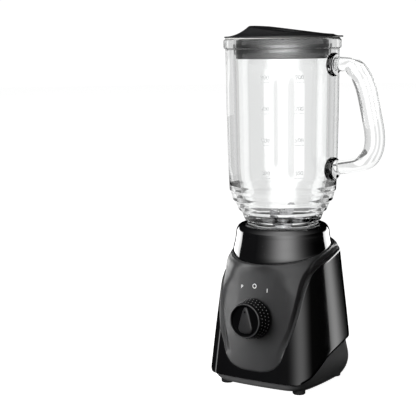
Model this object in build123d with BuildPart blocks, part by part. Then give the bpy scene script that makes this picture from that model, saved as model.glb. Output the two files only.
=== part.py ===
from build123d import *
import math
import os

os.makedirs("parts", exist_ok=True)

# ---------------------------------------------------------------------------
# Countertop blender. Millimetres, +Z up, the motor axis is Z, the knob looks
# along -Y, the jar handle points along +X and the pour lip along -X.
# The table top is z = 0.
# ---------------------------------------------------------------------------

# base envelope: bowed square sections
side_bow = 3.2            # how far each side bulges past its corners
# height, half width, shift of the section along Y, rounding of the front corners, of the rear corners
base_levels = [(11.0, 60.4, -2.0, 20.0, 22.5), (60.0, 56.3, -0.9, 19.5, 21.5), (113.0, 51.4, -0.3, 20.0, 20.5),
               (156.0, 47.6, 0.0, 20.0, 20.0)]
apron_proud = 1.4         # apron stands out past the housing
recess_depth = 2.6        # pocket in the housing that takes the apron
wall = 5.0                # housing wall

# slanted seam between base and seat collar: z = seam_z + seam_slope * y
seam_z = 139.2
seam_slope = 0.22
seam_y0 = -2.0            # centre of the shoulder circle

# seat collar
cup_r = 37.0
cup_floor = 136.0
spigot_r = 45.0

# plinth and feet
plinth_levels = [(4.5, 51.8, -2.2, 20.0, 28.0), (8.0, 54.8, -2.2, 19.0, 29.0), (13.0, 57.0, -2.2, 19.0, 28.0),
                 (28.0, 57.3, -2.0, 19.0, 24.0), (50.0, 57.6, -1.2, 19.0, 21.5)]
plinth_wall = 3.0
foot_r = 6.5
foot_spots = [(-42.0, -41.0), (42.0, -41.0), (-40.0, 37.0), (40.0, 37.0)]
gland_y = -2.2            # the gland follows the rear wall of the plinth
post_x, post_y, post_r = 45.5, 27.0, 5.0

# motor
shaft_r = 4.0
running = 0.04            # radial clearance of a running fit
stator_half = 29.0
stator_z0, stator_z1 = 58.0, 92.0
armature_r = 15.5
bolt_xy = 24.8
hang_r = 32.0             # pitch radius of the posts that the motor hangs from

# knob
knob_y, knob_z, knob_tilt = -56.1, 74.5, 2.0
knob_base_r, knob_front_r, knob_h = 19.8, 17.2, 18.6

# jar
neck_r, neck_in = 31.0, 26.5
rim_z = 348.0
rib_count, rib_depth = 4, 2.4

# lid
deck_x, deck_r, deck_z, deck_slope = 10.0, 42.0, 356.35, -0.125
plug_r, plug_in, plug_z = 46.5, 43.6, 328.5
cap_x, cap_r = 9.0, 19.2


# --- helper shapes -----------------------------------------------------------
def bowed_square(z, half, y0, front_r, rear_r):
    c = half - side_bow
    with BuildSketch(Plane.XY.offset(z)) as sk:
        with BuildLine():
            ThreePointArc((-c, y0 - c), (0, y0 - half), (c, y0 - c))
            ThreePointArc((c, y0 - c), (half, y0), (c, y0 + c))
            ThreePointArc((c, y0 + c), (0, y0 + half), (-c, y0 + c))
            ThreePointArc((-c, y0 + c), (-half, y0), (-c, y0 - c))
        make_face()
        fillet(sk.vertices().group_by(Axis.Y)[-1], rear_r)
        fillet(sk.vertices().group_by(Axis.Y)[0], front_r)
    return sk.sketch


def tapered(levels, grow):
    sections = [bowed_square(z, h + grow, y0, fr, rr) for z, h, y0, fr, rr in levels]
    with BuildPart() as body:
        loft(sections=sections)
    return body


seam_len = math.hypot(1.0, seam_slope)
seam_n = (0.0, -seam_slope / seam_len, 1.0 / seam_len)
seam_o = (0.0, seam_y0, seam_z + seam_slope * seam_y0)
# in this plane x runs along X and y runs along the seam normal
shoulder_plane = Plane(origin=seam_o, x_dir=(1, 0, 0), z_dir=(0.0, -seam_n[2], seam_n[1]))
seam_plane = Plane(origin=seam_o, x_dir=(1, 0, 0), z_dir=seam_n)


def shoulder(inset, drop):
    pts = [(50.6, 0), (54.8, -4), (57.6, -8), (61.0, -14), (64.2, -19), (69.5, -26)]
    pts = [(r - inset, v - drop) for r, v in pts]
    with BuildPart() as body:
        with BuildSketch(shoulder_plane):
            with BuildLine():
                Polyline((0, -drop), pts[0])
                Spline(*pts)
                Polyline(pts[-1], (89 - inset, -50), (125 - inset, -95), (125 - inset, -190), (0, -190), (0, -drop))
            make_face()
        revolve(axis=Axis(seam_o, seam_n))
    return body


shoulder_out = shoulder(0.0, 0.12)
shoulder_mid = shoulder(recess_depth, recess_depth * 0.6)
shoulder_in = shoulder(wall, 5.0)

with BuildPart() as recess_core:
    add(tapered(base_levels, -recess_depth).part)
    add(shoulder_mid.part, mode=Mode.INTERSECT)

with BuildPart() as cavity_core:
    add(tapered(base_levels, -wall).part)
    add(shoulder_in.part, mode=Mode.INTERSECT)

# front outline of the apron (seen from -Y) and the sweep of its shoulder (seen from +X)
apron_edge = [(14, 21.9), (25, 23.8), (31.5, 27.0), (35.5, 32.5), (38.2, 41.0), (40.6, 50.0),
              (43.0, 60.0), (44.9, 70.0), (46.2, 80.0), (47.2, 90.0), (48.2, 98.0),
              (49.3, 105.0), (50.5, 111.0), (53.5, 115.5), (60.0, 118.0), (66.0, 118.5)]
shoulder_edge = [(-75, 108.5), (-46, 110.0), (-33, 112.2), (-21.5, 117.2), (-8, 121.3), (3, 124.6),
                 (13.5, 129.0), (25, 133.0), (36, 136.0), (50, 139.0), (75, 143.0)]

with BuildPart() as apron_region:
    with BuildSketch(Plane.XZ.offset(32)):
        with BuildLine():
            Spline((-14, 21.9), (0, 21.2), (14, 21.9))
            Spline(*apron_edge)
            Polyline(apron_edge[-1], (66, 175), (-66, 175), (-apron_edge[-1][0], apron_edge[-1][1]))
            Spline(*[(-x, z) for x, z in reversed(apron_edge)])
        make_face()
    extrude(amount=58)
    with BuildSketch(Plane.YZ):
        with BuildLine():
            Spline(*shoulder_edge)
            Polyline(shoulder_edge[-1], (75, 178), (-75, 178), shoulder_edge[0])
        make_face()
    extrude(amount=90, both=True)

# line where the plinth meets the housing (seen from +X)
plinth_seam = [(-75, 12.3), (-58, 12.9), (-53, 15.2), (-45, 18.0), (-37, 20.9), (-27, 25.2),
               (-20, 28.4), (-12.6, 31.7), (0, 35.2), (16.6, 38.7), (34, 42.0), (75, 49.0)]

with BuildPart() as below_seam:
    with BuildSketch(Plane.YZ):
        with BuildLine():
            Spline(*plinth_seam)
            Polyline(plinth_seam[-1], (75, -5), (-75, -5), plinth_seam[0])
        make_face()
    extrude(amount=90, both=True)

knob_n = (0.0, -math.cos(math.radians(knob_tilt)), math.sin(math.radians(knob_tilt)))
knob_plane = Plane(origin=(0, knob_y, knob_z), x_dir=(1, 0, 0), z_dir=knob_n)

# --- main housing: gloss tapering shell with a pocket for the apron -----------
with BuildPart() as main_housing:
    add(tapered(base_levels, 0.0).part)
    add(shoulder_out.part, mode=Mode.INTERSECT)
    add(cavity_core.part, mode=Mode.SUBTRACT)
    with BuildSketch(Plane.XY.offset(100)):
        Circle(spigot_r + 0.25)
    extrude(amount=80, mode=Mode.SUBTRACT)
    add(apron_region.part - recess_core.part, mode=Mode.SUBTRACT)
    add(below_seam.part, mode=Mode.SUBTRACT)
    # posts for the plinth screws, joined to the side walls
    with BuildSketch(Plane.XY.offset(11)):
        for sx in (-1, 1):
            for sy in (-1, 1):
                with Locations((sx * post_x, sy * post_y)):
                    Circle(post_r)
    extrude(amount=62)
    with BuildSketch(Plane.XY.offset(48)):
        for sx in (-1, 1):
            for sy in (-1, 1):
                with Locations((sx * (post_x + 4.0), sy * post_y)):
                    Rectangle(9.0, 4.0)
    extrude(amount=25)
    with BuildSketch(Plane.XY.offset(11)):
        for sx in (-1, 1):
            for sy in (-1, 1):
                with Locations((sx * post_x, sy * post_y)):
                    Circle(1.7)
    extrude(amount=24, mode=Mode.SUBTRACT)
    # opening for the switch neck
    with BuildSketch(knob_plane):
        Circle(5.3)
    extrude(amount=-16, mode=Mode.SUBTRACT)

# --- front apron: matte panel and shoulder, seated in the pocket --------------
with BuildPart() as front_apron:
    add(tapered(base_levels, apron_proud).part)
    add(shoulder_out.part, mode=Mode.INTERSECT)
    add(apron_region.part, mode=Mode.INTERSECT)
    add(recess_core.part, mode=Mode.SUBTRACT)
    with BuildSketch(Plane.XY.offset(100)):
        Circle(spigot_r + 0.25)
    extrude(amount=80, mode=Mode.SUBTRACT)
    # shallow round seat for the knob and the hole for the switch neck
    with BuildSketch(knob_plane):
        Circle(knob_base_r + 0.9)
    extrude(amount=20, mode=Mode.SUBTRACT)
    with BuildSketch(knob_plane):
        Circle(5.3)
    extrude(amount=-16, mode=Mode.SUBTRACT)

# --- seat collar: gloss cup that takes the foot of the jar --------------------
with BuildPart() as seam_tool:
    with BuildSketch(Plane.XY.offset(100)):
        Circle(60)
        Circle(spigot_r, mode=Mode.SUBTRACT)
    extrude(amount=80)
    split(bisect_by=seam_plane, keep=Keep.BOTTOM)

with BuildPart() as seat_collar:
    with BuildSketch(Plane.XZ):
        with BuildLine():
            Polyline((52.6, 119.0), (51.9, 126.0), (51.0, 134.8), (48.2, 148.0), (47.4, 154.0))
            Spline((47.4, 154.0), (46.3, 158.2), (43.6, 161.6), (40.6, 163.0), (38.2, 162.2), (37.0, 159.4),
                   tangents=((-0.1, 1), (0, -1)))
            Polyline((37.0, 159.4), (cup_r, cup_floor), (9.6, cup_floor), (9.6, 132.6), (40.0, 132.6),
                     (40.0, 155.0), (42.2, 155.0), (42.2, 119.0), (52.6, 119.0))
        make_face()
    revolve(axis=Axis.Z)
    add(seam_tool.part, mode=Mode.SUBTRACT)
    # posts under the floor that the motor hangs from
    with BuildSketch(Plane.XY.offset(112)):
        with PolarLocations(hang_r, 4):
            Circle(4.6)
    extrude(amount=21)
    with BuildSketch(Plane.XY.offset(112)):
        with PolarLocations(hang_r, 4):
            Circle(1.6)
    extrude(amount=16, mode=Mode.SUBTRACT)

# --- plinth: floor pan with vents, rising to the rear -------------------------
with BuildPart() as plinth_core:
    add(tapered(plinth_levels, -plinth_wall).part)
    with BuildSketch(Plane.XY):
        Rectangle(140, 140)
    extrude(amount=7.5, mode=Mode.SUBTRACT)

with BuildPart() as bottom_plinth:
    add(tapered(plinth_levels, 0.0).part)
    add(below_seam.part, mode=Mode.INTERSECT)
    add(plinth_core.part, mode=Mode.SUBTRACT)
    with BuildSketch(Plane.XY.offset(7.0)):
        for sx in (-1, 1):
            for sy in (-1, 1):
                with Locations((sx * post_x, sy * post_y)):
                    Circle(post_r)
    extrude(amount=4.0)
    with BuildSketch(Plane.XY.offset(4.5)):
        for sx in (-1, 1):
            for sy in (-1, 1):
                with Locations((sx * post_x, sy * post_y)):
                    Circle(2.1)
    extrude(amount=6.5, mode=Mode.SUBTRACT)
    with BuildSketch(Plane.XY.offset(4.5)):
        for sx in (-1, 1):
            for sy in (-1, 1):
                with Locations((sx * post_x, sy * post_y)):
                    Circle(3.9)
    extrude(amount=3.0, mode=Mode.SUBTRACT)
    # holes for the stems of the feet
    with BuildSketch(Plane.XY.offset(4.0)):
        with Locations(*foot_spots):
            Circle(2.5)
    extrude(amount=4.0, mode=Mode.SUBTRACT)
    # air slots under the fan
    with BuildSketch(Plane.XY.offset(4.0)):
        with GridLocations(0, 7.0, 1, 7):
            SlotOverall(44.0, 3.2)
    extrude(amount=4.0, mode=Mode.SUBTRACT)
    # hole for the cord gland in the rear wall
    with BuildSketch(Plane.XZ.offset(-40)):
        with Locations((0, 24.0)):
            Circle(5.0)
    extrude(amount=-25, mode=Mode.SUBTRACT)

with BuildPart() as one_foot:
    with BuildSketch(Plane.XZ):
        with BuildLine():
            Polyline((0, 0), (foot_r - 0.9, 0), (foot_r - 0.2, 0.7), (foot_r, 4.5), (2.4, 4.5), (2.4, 7.5), (3.2, 7.5),
                     (2.8, 9.1), (0, 9.1), close=True)
        make_face()
    revolve(axis=Axis.Z)

with BuildPart() as rubber_feet:
    with Locations(*foot_spots):
        add(one_foot.part)

with BuildPart() as plinth_screws:
    with BuildSketch(Plane.XY.offset(5.2)):
        for sx in (-1, 1):
            for sy in (-1, 1):
                with Locations((sx * post_x, sy * post_y)):
                    Circle(3.6)
    extrude(amount=2.3)
    with BuildSketch(Plane.XY.offset(7.5)):
        for sx in (-1, 1):
            for sy in (-1, 1):
                with Locations((sx * post_x, sy * post_y)):
                    Circle(1.65)
    extrude(amount=22)
    with BuildSketch(Plane.XY.offset(5.2)):
        for sx in (-1, 1):
            for sy in (-1, 1):
                with Locations((sx * post_x, sy * post_y)):
                    Rectangle(4.2, 0.9)
                    Rectangle(0.9, 4.2)
    extrude(amount=1.2, mode=Mode.SUBTRACT)

with BuildPart() as cord_gland:
    with BuildSketch(Plane.YZ):
        with BuildLine():
            Polyline(*[(gland_y + y, 24.0 + r) for y, r in ((49.5, 3.6), (49.5, 6.8), (52.2, 6.8), (52.2, 4.9), (58.7, 4.9),
                                                            (58.7, 7.4), (59.8, 6.6), (59.8, 3.6))], close=True)
        make_face()
    revolve(axis=Axis((0, 0, 24.0), (0, 1, 0)))

# --- motor: parts that stand still --------------------------------------------
with BuildPart() as stator_core:
    with BuildSketch(Plane.XY.offset(stator_z0)):
        RectangleRounded(2 * stator_half, 2 * stator_half, 6.0)
        Circle(armature_r + 0.7, mode=Mode.SUBTRACT)
        with GridLocations(35.0, 43.0, 2, 2):
            Rectangle(8.4, 10.4, mode=Mode.SUBTRACT)
        with GridLocations(2 * bolt_xy, 2 * bolt_xy, 2, 2):
            Circle(2.15, mode=Mode.SUBTRACT)
    extrude(amount=stator_z1 - stator_z0)

with BuildPart() as field_coils:
    for side in (-1, 1):
        with BuildSketch(Plane.XZ.offset(-side * 21.5)):
            with Locations((0, 75.0)):
                RectangleRounded(42.8, 50.0, 7.0)
                RectangleRounded(27.2, 34.4, 0.3, mode=Mode.SUBTRACT)
        extrude(amount=4.9, both=True)

with BuildPart() as upper_bracket:
    with BuildSketch(Plane.XY.offset(104)):
        Circle(41)
        Circle(8.5, mode=Mode.SUBTRACT)
        with PolarLocations(hang_r, 4):
            Circle(2.3, mode=Mode.SUBTRACT)
        with GridLocations(2 * bolt_xy, 2 * bolt_xy, 2, 2):
            Circle(2.15, mode=Mode.SUBTRACT)
        with PolarLocations(20.0, 8, start_angle=22.5):
            Circle(4.2, mode=Mode.SUBTRACT)
    extrude(amount=4)
    with BuildSketch(Plane.XY.offset(108)):
        Circle(11)
        Circle(8.5, mode=Mode.SUBTRACT)
    extrude(amount=3)

with BuildPart() as upper_bearing:
    with BuildSketch(Plane.XY.offset(104)):
        Circle(8.45)
        Circle(shaft_r + running, mode=Mode.SUBTRACT)
    extrude(amount=7)
    chamfer(upper_bearing.edges().filter_by(GeomType.CIRCLE).sort_by(SortBy.RADIUS)[-2:], 0.6)

with BuildPart() as lower_bracket:
    with BuildSketch(Plane.XY.offset(31)):
        Circle(41)
        Circle(8.5, mode=Mode.SUBTRACT)
        with GridLocations(2 * bolt_xy, 2 * bolt_xy, 2, 2):
            Circle(2.15, mode=Mode.SUBTRACT)
        with PolarLocations(26.0, 2, start_angle=90):
            Circle(8.0, mode=Mode.SUBTRACT)
    extrude(amount=4)
    with BuildSketch(Plane.XY.offset(27)):
        Circle(11)
        Circle(8.5, mode=Mode.SUBTRACT)
    extrude(amount=4)
    # two seats for the brush holders
    with BuildSketch(Plane.XY.offset(35)):
        with GridLocations(40.0, 0, 2, 1):
            Rectangle(14.0, 12.0)
    extrude(amount=5)

with BuildPart() as lower_bearing:
    with BuildSketch(Plane.XY.offset(27.6)):
        Circle(8.45)
        Circle(shaft_r + running, mode=Mode.SUBTRACT)
    extrude(amount=6.8)
    chamfer(lower_bearing.edges().filter_by(GeomType.CIRCLE).sort_by(SortBy.RADIUS)[-2:], 0.6)

with BuildPart() as motor_bolts:
    with BuildSketch(Plane.XY.offset(28)):
        with GridLocations(2 * bolt_xy, 2 * bolt_xy, 2, 2):
            RegularPolygon(4.0, 6)
    extrude(amount=3)
    with BuildSketch(Plane.XY.offset(31)):
        with GridLocations(2 * bolt_xy, 2 * bolt_xy, 2, 2):
            Circle(2.0)
    extrude(amount=77)
    with BuildSketch(Plane.XY.offset(108)):
        with GridLocations(2 * bolt_xy, 2 * bolt_xy, 2, 2):
            RegularPolygon(4.0, 6)
    extrude(amount=3.2)

# spacer sleeves that hold the brackets off the stator
with BuildPart() as bolt_sleeves:
    for z0, h in ((35.0, 23.0), (92.0, 12.0)):
        with BuildSketch(Plane.XY.offset(z0)):
            with GridLocations(2 * bolt_xy, 2 * bolt_xy, 2, 2):
                Circle(3.2)
                Circle(2.15, mode=Mode.SUBTRACT)
        extrude(amount=h)

with BuildPart() as motor_dampers:
    with BuildSketch(Plane.XY.offset(108)):
        with PolarLocations(hang_r, 4):
            Circle(5.6)
            Circle(2.3, mode=Mode.SUBTRACT)
    extrude(amount=4)
    chamfer(motor_dampers.edges().filter_by(GeomType.CIRCLE).sort_by(SortBy.RADIUS)[-8:], 0.7)

with BuildPart() as damper_screws:
    with BuildSketch(Plane.XY.offset(101.6)):
        with PolarLocations(hang_r, 4):
            Circle(4.0)
    extrude(amount=2.4)
    with BuildSketch(Plane.XY.offset(104)):
        with PolarLocations(hang_r, 4):
            Circle(1.55)
    extrude(amount=22)
    with BuildSketch(Plane.XY.offset(101.6)):
        with PolarLocations(hang_r, 4):
            Rectangle(4.6, 0.9)
            Rectangle(0.9, 4.6)
    extrude(amount=1.3, mode=Mode.SUBTRACT)

with BuildPart() as brush_holders:
    for side in (-1, 1):
        with BuildSketch(Plane.YZ.offset(side * 19.5)):
            with Locations((0, 44.0)):
                Rectangle(8.0, 8.0)
                Rectangle(6.2, 6.2, mode=Mode.SUBTRACT)
        extrude(amount=7.5, both=True)
        with BuildSketch(Plane.YZ.offset(side * 27.6)):
            with Locations((0, 44.0)):
                Rectangle(8.0, 8.0)
        extrude(amount=0.6, both=True)

with BuildPart() as carbon_brushes:
    for side in (-1, 1):
        with BuildSketch(Plane.YZ.offset(side * 15.4)):
            with Locations((0, 44.0)):
                Rectangle(6.0, 6.0)
        extrude(amount=5.5, both=True)

# bent strip springs behind the brushes
with BuildPart() as spring_right:
    with BuildSketch(Plane.XZ):
        with BuildLine():
            Polyline((20.95, 41.4), (26.9, 43.8), (26.9, 44.2), (20.95, 46.6), (20.95, 46.1), (25.8, 44.1), (25.8, 43.9),
                     (20.95, 41.9), close=True)
        make_face()
    extrude(amount=2.0, both=True)

with BuildPart() as brush_springs:
    add(spring_right.part)
    mirror(about=Plane.YZ)

with BuildPart() as shaft_seal:
    with BuildSketch(Plane.XZ):
        with BuildLine():
            Polyline((4.4, 131.2), (6.2, 131.2), (7.0, 131.6), (9.55, 131.6), (9.55, 136.0), (10.6, 136.0),
                     (10.4, 136.6), (5.4, 136.6), (4.4, 136.2), close=True)
        make_face()
    revolve(axis=Axis.Z)

# --- rotor ----------------------------------------------------------------------
with BuildPart() as motor_shaft:
    with BuildSketch(Plane.XZ):
        with BuildLine():
            Polyline((0, 11.5), (3.4, 11.5), (shaft_r, 12.1), (shaft_r, 140.4), (3.4, 141.0), (0, 141.0), close=True)
        make_face()
    revolve(axis=Axis.Z)

with BuildPart() as armature_core:
    with BuildSketch(Plane.XY.offset(59)):
        Circle(armature_r)
        with PolarLocations(13.0, 12):
            Rectangle(5.2, 2.6, mode=Mode.SUBTRACT)
        Circle(shaft_r, mode=Mode.SUBTRACT)
    extrude(amount=32)

with BuildPart() as armature_windings:
    with BuildSketch(Plane.XZ):
        with BuildLine():
            Polyline((shaft_r + 0.02, 52.0), (11.0, 52.0), (13.6, 54.2), (14.2, 57.0), (13.8, 59.0),
                     (shaft_r + 0.02, 59.0), close=True)
        make_face()
        with BuildLine():
            Polyline((shaft_r + 0.02, 91.0), (13.8, 91.0), (14.2, 93.0), (13.4, 95.8), (11.0, 97.6),
                     (shaft_r + 0.02, 97.6), close=True)
        make_face()
    revolve(axis=Axis.Z)
    with BuildSketch(Plane.XY.offset(59)):
        with PolarLocations(12.8, 12):
            Rectangle(4.4, 2.3)
    extrude(amount=32)

with BuildPart() as commutator:
    with BuildSketch(Plane.XY.offset(38)):
        Circle(9.5)
        Circle(shaft_r, mode=Mode.SUBTRACT)
    extrude(amount=12)
    with BuildSketch(Plane.XY.offset(38)):
        with PolarLocations(9.5, 24):
            Rectangle(1.6, 0.35)
    extrude(amount=12, mode=Mode.SUBTRACT)
    with BuildSketch(Plane.XY.offset(50)):
        Circle(10.6)
        Circle(shaft_r, mode=Mode.SUBTRACT)
    extrude(amount=1.6)

with BuildPart() as cooling_fan:
    with BuildSketch(Plane.XY.offset(13)):
        Circle(7.0)
        Circle(shaft_r, mode=Mode.SUBTRACT)
    extrude(amount=11)
    with BuildSketch(Plane.XY.offset(22)):
        Circle(27.0)
        Circle(shaft_r, mode=Mode.SUBTRACT)
    extrude(amount=1.8)
    with BuildSketch(Plane.XY.offset(13)):
        with PolarLocations(0, 9):
            with Locations(Location((16.2, 2.4, 0), (0, 0, 18))):
                Rectangle(20.0, 1.4)
    extrude(amount=9.4)

lug_in, lug_out, lug_deg = 8.6, 14.4, 22.0


def lug_face(z, start):
    a0, a1 = math.radians(start - lug_deg / 2), math.radians(start + lug_deg / 2)
    am = math.radians(start)
    with BuildSketch(Plane.XY.offset(z)) as sk:
        with BuildLine():
            Polyline((lug_in * math.cos(a0), lug_in * math.sin(a0)), (lug_out * math.cos(a0), lug_out * math.sin(a0)))
            ThreePointArc((lug_out * math.cos(a0), lug_out * math.sin(a0)),
                          (lug_out * math.cos(am), lug_out * math.sin(am)),
                          (lug_out * math.cos(a1), lug_out * math.sin(a1)))
            Polyline((lug_out * math.cos(a1), lug_out * math.sin(a1)), (lug_in * math.cos(a1), lug_in * math.sin(a1)))
            ThreePointArc((lug_in * math.cos(a1), lug_in * math.sin(a1)),
                          (lug_in * math.cos(am), lug_in * math.sin(am)),
                          (lug_in * math.cos(a0), lug_in * math.sin(a0)))
        make_face()
    return sk.sketch


drive_lugs = [lug_face(141.0, 60.0 * i) for i in range(6)]
driven_lugs = [lug_face(141.8, 60.0 * i + 30.0) for i in range(6)]

with BuildPart() as drive_coupling:
    with BuildSketch(Plane.XY.offset(137.0)):
        Circle(15.0)
        Circle(shaft_r, mode=Mode.SUBTRACT)
    extrude(amount=4.2)
    with BuildSketch(Plane.XY.offset(141.0)):
        Circle(6.4)
        Circle(shaft_r, mode=Mode.SUBTRACT)
    extrude(amount=2.4)
    for face in drive_lugs:
        extrude(to_extrude=face.face(), amount=4.2)

# --- blade unit: turns with the rotor -------------------------------------------
with BuildPart() as driven_coupling:
    with BuildSketch(Plane.XY.offset(145.8)):
        Circle(15.0)
        Circle(shaft_r, mode=Mode.SUBTRACT)
    extrude(amount=4.0)
    for face in driven_lugs:
        extrude(to_extrude=face.face(), amount=4.2)

with BuildPart() as blade_shaft:
    with BuildSketch(Plane.XZ):
        with BuildLine():
            Polyline((0, 144.4), (3.4, 144.4), (shaft_r, 145.0), (shaft_r, 174.6), (3.2, 175.6), (0, 175.6), close=True)
        make_face()
    revolve(axis=Axis.Z)

with BuildPart() as blade_spacer:
    with BuildSketch(Plane.XY.offset(163.4)):
        Circle(7.2)
        Circle(shaft_r, mode=Mode.SUBTRACT)
    extrude(amount=1.6)

with BuildPart() as lower_blade:
    with BuildSketch(Plane.XY.offset(165.0)):
        with BuildLine():
            Polyline((-6.5, 5.2), (6.5, 6.4), (21.5, 3.2), (25.0, -2.2), (22.0, -4.6), (6.5, -5.2), (-6.5, -6.4),
                     (-21.5, -3.2), (-25.0, 2.2), (-22.0, 4.6), close=True)
        make_face()
        Circle(8.0)
        Circle(shaft_r, mode=Mode.SUBTRACT)
    extrude(amount=1.5)

with BuildPart() as upper_blade:
    with BuildSketch(Plane.YZ):
        with BuildLine():
            Polyline((-8.0, 166.5), (8.0, 166.5), (22.4, 179.8), (21.3, 180.9), (7.5, 168.0), (-7.5, 168.0),
                     (-21.3, 180.9), (-22.4, 179.8), close=True)
        make_face()
    extrude(amount=7.0, both=True)
    with BuildSketch(Plane.XY.offset(160)):
        with BuildLine():
            Polyline((5.2, 0.0), (6.4, 7.0), (3.4, 19.5), (-1.5, 23.0), (-5.0, 20.0), (-5.6, 7.0), (-5.2, 0.0),
                     (-6.4, -7.0), (-3.4, -19.5), (1.5, -23.0), (5.0, -20.0), (5.6, -7.0), close=True)
        make_face()
        Circle(7.4)
    extrude(amount=25, mode=Mode.INTERSECT)
    with BuildSketch(Plane.XY.offset(160)):
        Circle(shaft_r)
    extrude(amount=25, mode=Mode.SUBTRACT)

with BuildPart() as blade_nut:
    with BuildSketch(Plane.XY.offset(168.0)):
        RegularPolygon(6.6, 6)
        Circle(shaft_r, mode=Mode.SUBTRACT)
    extrude(amount=5.0)
    chamfer(blade_nut.edges().group_by(Axis.Z)[-1].filter_by(GeomType.LINE), 0.8)

# --- jar ------------------------------------------------------------------------
jar_outer_pts = [(neck_r, 157.5), (neck_r, 162.3), (36.0, 162.3), (36.4, 166.0), (38.2, 167.0), (42.2, 175.4),
                 (44.6, 176.6), (48.8, 186.2), (50.6, 187.4), (53.0, 196.6), (54.0, 197.9), (54.4, 205.0),
                 (54.7, 213.0), (55.4, 234.0), (56.3, 278.0), (56.8, 318.0), (57.0, 338.0),
                 (58.9, 339.2), (58.9, 347.0), (57.9, rim_z)]
jar_inner_pts = [(48.2, rim_z), (47.4, 347.2), (46.9, 320.0), (45.4, 218.0), (44.4, 206.0), (42.2, 194.5), (38.6, 183.5),
                 (33.4, 174.0), (28.6, 167.6), (neck_in, 164.6), (neck_in, 157.5)]

with BuildPart() as jar_outer:
    with BuildSketch(Plane.XZ):
        with BuildLine():
            Polyline((0, 157.5), *jar_outer_pts, (0, rim_z), close=True)
        make_face()
    revolve(axis=Axis.Z)
    # pour lip on the -X side of the rim
    with BuildSketch(Plane.XY.offset(rim_z)):
        with Locations((-51.0, 0)):
            Circle(16.5)
    extrude(amount=-13.0, taper=12)

with BuildPart() as jar_inner:
    with BuildSketch(Plane.XZ):
        with BuildLine():
            Polyline((0, rim_z), *jar_inner_pts, (0, 157.5), close=True)
        make_face()
    revolve(axis=Axis.Z)
    with BuildSketch(Plane.XY.offset(rim_z)):
        with Locations((-50.0, 0)):
            Circle(11.5)
    extrude(amount=-8.0, taper=25)

with BuildPart() as jar_ribs:
    with BuildSketch(Plane.XY.offset(212)):
        with PolarLocations(47.0, rib_count, start_angle=45):
            Circle(4.6)
    extrude(amount=104)

with BuildPart() as glass_jar:
    add(jar_outer.part)
    add(jar_inner.part - jar_ribs.part, mode=Mode.SUBTRACT)

handle_path = [(50.0, 323.6), (88.5, 322.0), (109.5, 230.0), (49.0, 219.6)]
with BuildPart() as glass_handle:
    with BuildLine(Plane.XZ) as handle_line:
        FilletPolyline(*handle_path, radius=[21.0, 25.0])
    with BuildSketch(Plane(origin=handle_line.line @ 0, x_dir=(0, 1, 0), z_dir=handle_line.line % 0)):
        Ellipse(11.5, 8.4)
    sweep()
    with BuildSketch(Plane.YZ.offset(50.0)):
        with Locations((0, 322.6), (0, 220.4)):
            Circle(11.6)
    extrude(amount=11.4, taper=6)
    add(jar_outer.part, mode=Mode.SUBTRACT)

with BuildPart() as blade_collar:
    with BuildSketch(Plane.XZ):
        with BuildLine():
            Polyline((31.6, cup_floor), (35.2, cup_floor), (35.2, 160.6), (34.4, 161.6), (31.15, 161.6), (31.15, 153.5),
                     (24.0, 153.5), (24.0, 150.5), (31.6, 150.5), close=True)
        make_face()
    revolve(axis=Axis.Z)
    with BuildSketch(Plane.XY.offset(138)):
        with PolarLocations(36.2, 24):
            Rectangle(2.4, 3.0)
    extrude(amount=22, mode=Mode.SUBTRACT)

with BuildPart() as blade_seat:
    with BuildSketch(Plane.XZ):
        with BuildLine():
            Polyline((6.5, 150.8), (9.5, 150.8), (9.5, 153.5), (30.9, 153.5), (30.9, 155.5), (13.0, 155.5), (10.6, 157.5),
                     (9.5, 163.0), (6.5, 163.0), close=True)
        make_face()
    revolve(axis=Axis.Z)

with BuildPart() as shaft_bush:
    with BuildSketch(Plane.XY.offset(150.8)):
        Circle(6.5)
        Circle(shaft_r + running, mode=Mode.SUBTRACT)
    extrude(amount=12.2)

with BuildPart() as jar_gasket:
    with BuildSketch(Plane.XY.offset(155.5)):
        Circle(30.8)
        Circle(25.6, mode=Mode.SUBTRACT)
    extrude(amount=2.0)

# --- lid and filler cap ----------------------------------------------------------
deck_len = math.hypot(1.0, deck_slope)
deck_plane = Plane(origin=(deck_x, 0, deck_z), x_dir=(1 / deck_len, 0, deck_slope / deck_len),
                   z_dir=(-deck_slope / deck_len, 0, 1 / deck_len))


def disc(plane, r):
    with BuildSketch(plane) as sk:
        Circle(r)
    return sk.sketch


hat = [disc(Plane.XY.offset(350.6), 55.4),
       disc(Plane(origin=(3.6, 0, 352.6), x_dir=(1, 0, -0.035), z_dir=(0.035, 0, 1)), 49.0),
       disc(deck_plane, deck_r)]
hollow = [disc(Plane.XY.offset(349.0), 41.5),
          disc(Plane(origin=(deck_x - 1.5, 0, deck_z - 2.9), x_dir=deck_plane.x_dir, z_dir=deck_plane.z_dir), 36.5)]

with BuildPart() as lid_hollow:
    with BuildSketch(Plane.XY.offset(320)):
        Circle(plug_in)
    extrude(amount=29.0)
    loft(sections=hollow, ruled=True)

# guide tube for the filler cap
with BuildPart() as guide_tube:
    with BuildSketch(Plane.XY.offset(332.0)):
        with Locations((cap_x, 0)):
            Circle(cap_r + 2.8)
    extrude(amount=34.0)
    split(bisect_by=Plane(origin=(deck_x, 0, deck_z - 1.0), x_dir=deck_plane.x_dir, z_dir=deck_plane.z_dir), keep=Keep.BOTTOM)

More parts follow.
